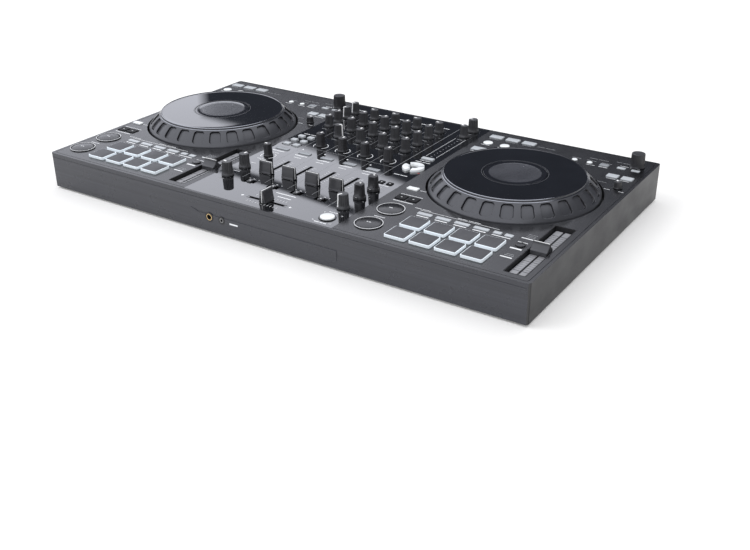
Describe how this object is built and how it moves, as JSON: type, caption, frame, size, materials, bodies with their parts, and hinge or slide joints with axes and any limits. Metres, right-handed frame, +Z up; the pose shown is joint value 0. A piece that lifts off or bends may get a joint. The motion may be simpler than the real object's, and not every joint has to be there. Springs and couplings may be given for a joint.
{
  "type": "dj controller with mixer",
  "caption": "Two-deck digital DJ console: large jog wheels, four-channel mixer, pads, tempo sliders and faders in one flat case.",
  "frame": {"origin": "middle of the console's footprint, on the table under its feet", "axes": "+X to the player's right along the long side, +Y to the rear wall with the sockets, +Z up out of the control panel"},
  "size_m": [0.716, 0.4008, 0.0737],
  "materials": {
    "case_plastic": "satin charcoal",
    "tray_steel": "black powder coat",
    "faceplate_gloss": "polished black",
    "board_green": "satin",
    "display_black": "glossy",
    "socket_brass": "satin",
    "foot_rubber": "matte",
    "screw_steel": "black zinc",
    "wheel_dark": "satin with a bright rim",
    "cap_grey": "satin",
    "key_white": "translucent satin",
    "key_light": "translucent satin",
    "key_gloss_black": "glossy",
    "pad_rubber": "translucent satin",
    "switch_black": "satin",
    "knob_dark": "soft touch"
  },
  "bodies": {
    "chassis": {"top_case": "case_plastic", "rear_panel": "tray_steel", "base_tray": "tray_steel", "mixer_faceplate": "faceplate_gloss", "circuit_boards": "board_green", "jog_spindles": "display_black", "sockets": "socket_brass", "rubber_feet": "foot_rubber", "case_screws": "screw_steel"},
    "jog_wheel_left": {"jog_wheel_left": "wheel_dark"},
    "jog_wheel_right": {"jog_wheel_right": "wheel_dark"},
    "color_knob_1": {"color_knob_1": "knob_dark"},
    "color_knob_2": {"color_knob_2": "knob_dark"},
    "color_knob_3": {"color_knob_3": "knob_dark"},
    "color_knob_4": {"color_knob_4": "knob_dark"},
    "low_knob_1": {"low_knob_1": "knob_dark"},
    "low_knob_2": {"low_knob_2": "knob_dark"},
    "low_knob_3": {"low_knob_3": "knob_dark"},
    "low_knob_4": {"low_knob_4": "knob_dark"},
    "mid_knob_1": {"mid_knob_1": "knob_dark"},
    "mid_knob_2": {"mid_knob_2": "knob_dark"},
    "mid_knob_3": {"mid_knob_3": "knob_dark"},
    "mid_knob_4": {"mid_knob_4": "knob_dark"},
    "high_knob_1": {"high_knob_1": "knob_dark"},
    "high_knob_2": {"high_knob_2": "knob_dark"},
    "high_knob_3": {"high_knob_3": "knob_dark"},
    "high_knob_4": {"high_knob_4": "knob_dark"},
    "trim_knob_1": {"trim_knob_1": "knob_dark"},
    "trim_knob_2": {"trim_knob_2": "knob_dark"},
    "trim_knob_3": {"trim_knob_3": "knob_dark"},
    "trim_knob_4": {"trim_knob_4": "knob_dark"},
    "mic_low_knob": {"mic_low_knob": "knob_dark"},
    "mic_high_knob": {"mic_high_knob": "knob_dark"},
    "mic2_level_knob": {"mic2_level_knob": "knob_dark"},
    "mic1_level_knob": {"mic1_level_knob": "knob_dark"},
    "effect_amount_knob": {"effect_amount_knob": "knob_dark"},
    "phones_mix_knob": {"phones_mix_knob": "knob_dark"},
    "phones_level_knob": {"phones_level_knob": "knob_dark"},
    "booth_knob": {"booth_knob": "knob_dark"},
    "master_knob": {"master_knob": "knob_dark"},
    "beat_select_knob": {"beat_select_knob": "knob_dark"},
    "channel_select_knob": {"channel_select_knob": "knob_dark"},
    "beat_level_knob": {"beat_level_knob": "knob_dark"},
    "browse_knob_left": {"browse_knob_left": "knob_dark"},
    "browse_knob_right": {"browse_knob_right": "knob_dark"},
    "speed_knob_left": {"speed_knob_left": "knob_dark"},
    "speed_knob_right": {"speed_knob_right": "knob_dark"},
    "channel_fader_1": {"channel_fader_1": "cap_grey"},
    "channel_fader_2": {"channel_fader_2": "cap_grey"},
    "channel_fader_3": {"channel_fader_3": "cap_grey"},
    "channel_fader_4": {"channel_fader_4": "cap_grey"},
    "crossfader": {"crossfader": "cap_grey"},
    "tempo_slider_left": {"tempo_slider_left": "cap_grey"},
    "tempo_slider_right": {"tempo_slider_right": "cap_grey"},
    "assign_switches": {"assign_switches": "switch_black"},
    "mixer_keys": {"mixer_keys": "key_white"},
    "deck_keys": {"deck_keys": "key_light"},
    "transport_keys": {"transport_keys": "key_gloss_black"},
    "performance_pads": {"performance_pads": "pad_rubber"},
    "power_button": {"power_button": "switch_black"}
  },
  "joints": [
    {"name": "jog_wheel_left_turn", "type": "hinge", "parent": "chassis", "child": "jog_wheel_left", "pos_m": [-0.24025, 0.021, 0.06], "axis": [0, 0, -1], "continuous": true},
    {"name": "jog_wheel_right_turn", "type": "hinge", "parent": "chassis", "child": "jog_wheel_right", "pos_m": [0.23225, 0.021, 0.06], "axis": [0, 0, -1], "continuous": true},
    {"name": "color_knob_1_turn", "type": "hinge", "parent": "chassis", "child": "color_knob_1", "pos_m": [-0.05985, 0.0165, 0.06], "axis": [0, 0, -1], "range_deg": [-150, 150]},
    {"name": "color_knob_2_turn", "type": "hinge", "parent": "chassis", "child": "color_knob_2", "pos_m": [-0.02315, 0.0165, 0.06], "axis": [0, 0, -1], "range_deg": [-150, 150]},
    {"name": "color_knob_3_turn", "type": "hinge", "parent": "chassis", "child": "color_knob_3", "pos_m": [0.01355, 0.0165, 0.06], "axis": [0, 0, -1], "range_deg": [-150, 150]},
    {"name": "color_knob_4_turn", "type": "hinge", "parent": "chassis", "child": "color_knob_4", "pos_m": [0.05025, 0.0165, 0.06], "axis": [0, 0, -1], "range_deg": [-150, 150]},
    {"name": "low_knob_1_turn", "type": "hinge", "parent": "chassis", "child": "low_knob_1", "pos_m": [-0.05985, 0.06, 0.06], "axis": [0, 0, -1], "range_deg": [-240, 60]},
    {"name": "low_knob_2_turn", "type": "hinge", "parent": "chassis", "child": "low_knob_2", "pos_m": [-0.02315, 0.06, 0.06], "axis": [0, 0, -1], "range_deg": [-150, 150]},
    {"name": "low_knob_3_turn", "type": "hinge", "parent": "chassis", "child": "low_knob_3", "pos_m": [0.01355, 0.06, 0.06], "axis": [0, 0, -1], "range_deg": [-150, 150]},
    {"name": "low_knob_4_turn", "type": "hinge", "parent": "chassis", "child": "low_knob_4", "pos_m": [0.05025, 0.06, 0.06], "axis": [0, 0, -1], "range_deg": [-150, 150]},
    {"name": "mid_knob_1_turn", "type": "hinge", "parent": "chassis", "child": "mid_knob_1", "pos_m": [-0.05985, 0.092, 0.06], "axis": [0, 0, -1], "range_deg": [-150, 150]},
    {"name": "mid_knob_2_turn", "type": "hinge", "parent": "chassis", "child": "mid_knob_2", "pos_m": [-0.02315, 0.092, 0.06], "axis": [0, 0, -1], "range_deg": [-150, 150]},
    {"name": "mid_knob_3_turn", "type": "hinge", "parent": "chassis", "child": "mid_knob_3", "pos_m": [0.01355, 0.092, 0.06], "axis": [0, 0, -1], "range_deg": [-150, 150]},
    {"name": "mid_knob_4_turn", "type": "hinge", "parent": "chassis", "child": "mid_knob_4", "pos_m": [0.05025, 0.092, 0.06], "axis": [0, 0, -1], "range_deg": [-150, 150]},
    {"name": "high_knob_1_turn", "type": "hinge", "parent": "chassis", "child": "high_knob_1", "pos_m": [-0.05985, 0.123, 0.06], "axis": [0, 0, -1], "range_deg": [-150, 150]},
    {"name": "high_knob_2_turn", "type": "hinge", "parent": "chassis", "child": "high_knob_2", "pos_m": [-0.02315, 0.123, 0.06], "axis": [0, 0, -1], "range_deg": [-150, 150]},
    {"name": "high_knob_3_turn", "type": "hinge", "parent": "chassis", "child": "high_knob_3", "pos_m": [0.01355, 0.123, 0.06], "axis": [0, 0, -1], "range_deg": [-150, 150]},
    {"name": "high_knob_4_turn", "type": "hinge", "parent": "chassis", "child": "high_knob_4", "pos_m": [0.05025, 0.123, 0.06], "axis": [0, 0, -1], "range_deg": [-150, 150]},
    {"name": "trim_knob_1_turn", "type": "hinge", "parent": "chassis", "child": "trim_knob_1", "pos_m": [-0.05985, 0.1525, 0.06], "axis": [0, 0, -1], "range_deg": [-70, 230]},
    {"name": "trim_knob_2_turn", "type": "hinge", "parent": "chassis", "child": "trim_knob_2", "pos_m": [-0.02315, 0.1525, 0.06], "axis": [0, 0, -1], "range_deg": [-70, 230]},
    {"name": "trim_knob_3_turn", "type": "hinge", "parent": "chassis", "child": "trim_knob_3", "pos_m": [0.01355, 0.1525, 0.06], "axis": [0, 0, -1], "range_deg": [-70, 230]},
    {"name": "trim_knob_4_turn", "type": "hinge", "parent": "chassis", "child": "trim_knob_4", "pos_m": [0.05025, 0.1525, 0.06], "axis": [0, 0, -1], "range_deg": [-70, 230]},
    {"name": "mic_low_knob_turn", "type": "hinge", "parent": "chassis", "child": "mic_low_knob", "pos_m": [-0.098, 0.09, 0.06], "axis": [0, 0, -1], "range_deg": [-150, 150]},
    {"name": "mic_high_knob_turn", "type": "hinge", "parent": "chassis", "child": "mic_high_knob", "pos_m": [-0.098, 0.113, 0.06], "axis": [0, 0, -1], "range_deg": [-150, 150]},
    {"name": "mic2_level_knob_turn", "type": "hinge", "parent": "chassis", "child": "mic2_level_knob", "pos_m": [-0.098, 0.136, 0.06], "axis": [0, 0, -1], "range_deg": [0, 300]},
    {"name": "mic1_level_knob_turn", "type": "hinge", "parent": "chassis", "child": "mic1_level_knob", "pos_m": [-0.098, 0.159, 0.06], "axis": [0, 0, -1], "range_deg": [0, 300]},
    {"name": "effect_amount_knob_turn", "type": "hinge", "parent": "chassis", "child": "effect_amount_knob", "pos_m": [-0.098, -0.0515, 0.06], "axis": [0, 0, -1], "range_deg": [-65, 235]},
    {"name": "phones_mix_knob_turn", "type": "hinge", "parent": "chassis", "child": "phones_mix_knob", "pos_m": [-0.098, -0.101, 0.06], "axis": [0, 0, -1], "range_deg": [-150, 150]},
    {"name": "phones_level_knob_turn", "type": "hinge", "parent": "chassis", "child": "phones_level_knob", "pos_m": [-0.098, -0.135, 0.06], "axis": [0, 0, -1], "range_deg": [-70, 230]},
    {"name": "booth_knob_turn", "type": "hinge", "parent": "chassis", "child": "booth_knob", "pos_m": [0.09, 0.153, 0.06], "axis": [0, 0, -1], "range_deg": [-75, 225]},
    {"name": "master_knob_turn", "type": "hinge", "parent": "chassis", "child": "master_knob", "pos_m": [0.09, 0.18, 0.06], "axis": [0, 0, -1], "range_deg": [-60, 240]},
    {"name": "beat_select_knob_turn", "type": "hinge", "parent": "chassis", "child": "beat_select_knob", "pos_m": [0.088, -0.0775, 0.06], "axis": [0, 0, -1], "range_deg": [-150, 150]},
    {"name": "channel_select_knob_turn", "type": "hinge", "parent": "chassis", "child": "channel_select_knob", "pos_m": [0.088, -0.108, 0.06], "axis": [0, 0, -1], "range_deg": [-150, 150]},
    {"name": "beat_level_knob_turn", "type": "hinge", "parent": "chassis", "child": "beat_level_knob", "pos_m": [0.088, -0.143, 0.06], "axis": [0, 0, -1], "range_deg": [0, 300]},
    {"name": "browse_knob_left_turn", "type": "hinge", "parent": "chassis", "child": "browse_knob_left", "pos_m": [-0.13675, 0.172, 0.06], "axis": [0, 0, -1], "continuous": true},
    {"name": "browse_knob_right_turn", "type": "hinge", "parent": "chassis", "child": "browse_knob_right", "pos_m": [0.33575, 0.172, 0.06], "axis": [0, 0, -1], "continuous": true},
    {"name": "speed_knob_left_turn", "type": "hinge", "parent": "chassis", "child": "speed_knob_left", "pos_m": [-0.13225, 0.09, 0.058], "axis": [0, 0, -1], "range_deg": [-150, 150]},
    {"name": "speed_knob_right_turn", "type": "hinge", "parent": "chassis", "child": "speed_knob_right", "pos_m": [0.34025, 0.09, 0.058], "axis": [0, 0, -1], "range_deg": [-110, 190]},
    {"name": "channel_fader_1_slide", "type": "slide", "parent": "chassis", "child": "channel_fader_1", "axis": [0, 1, 0], "range_m": [0, 0.045]},
    {"name": "channel_fader_2_slide", "type": "slide", "parent": "chassis", "child": "channel_fader_2", "axis": [0, 1, 0], "range_m": [0, 0.045]},
    {"name": "channel_fader_3_slide", "type": "slide", "parent": "chassis", "child": "channel_fader_3", "axis": [0, 1, 0], "range_m": [0, 0.045]},
    {"name": "channel_fader_4_slide", "type": "slide", "parent": "chassis", "child": "channel_fader_4", "axis": [0, 1, 0], "range_m": [0, 0.045]},
    {"name": "crossfader_slide", "type": "slide", "parent": "chassis", "child": "crossfader", "axis": [1, 0, 0], "range_m": [-0.0225, 0.0225]},
    {"name": "tempo_slider_left_slide", "type": "slide", "parent": "chassis", "child": "tempo_slider_left", "axis": [0, 1, 0], "range_m": [-0.05, 0.05]},
    {"name": "tempo_slider_right_slide", "type": "slide", "parent": "chassis", "child": "tempo_slider_right", "axis": [0, 1, 0], "range_m": [-0.05, 0.05]},
    {"name": "assign_switches_slide", "type": "slide", "parent": "chassis", "child": "assign_switches", "axis": [1, 0, 0], "range_m": [-0.005, 0.005]},
    {"name": "mixer_keys_press", "type": "slide", "parent": "chassis", "child": "mixer_keys", "axis": [0, 0, 1], "range_m": [-0.0008, 0], "stiffness_N_per_m": 2000, "springref_m": 0.0008},
    {"name": "deck_keys_press", "type": "slide", "parent": "chassis", "child": "deck_keys", "axis": [0, 0, 1], "range_m": [-0.0008, 0], "stiffness_N_per_m": 3000, "springref_m": 0.0008},
    {"name": "transport_keys_press", "type": "slide", "parent": "chassis", "child": "transport_keys", "axis": [0, 0, 1], "range_m": [-0.0008, 0], "stiffness_N_per_m": 2000, "springref_m": 0.0008},
    {"name": "performance_pads_press", "type": "slide", "parent": "chassis", "child": "performance_pads", "axis": [0, 0, 1], "range_m": [-0.0008, 0], "stiffness_N_per_m": 4000, "springref_m": 0.0008},
    {"name": "power_button_press", "type": "slide", "parent": "chassis", "child": "power_button", "axis": [0, -1, 0], "range_m": [0, 0.002], "stiffness_N_per_m": 1500, "springref_m": -0.0005}
  ]
}
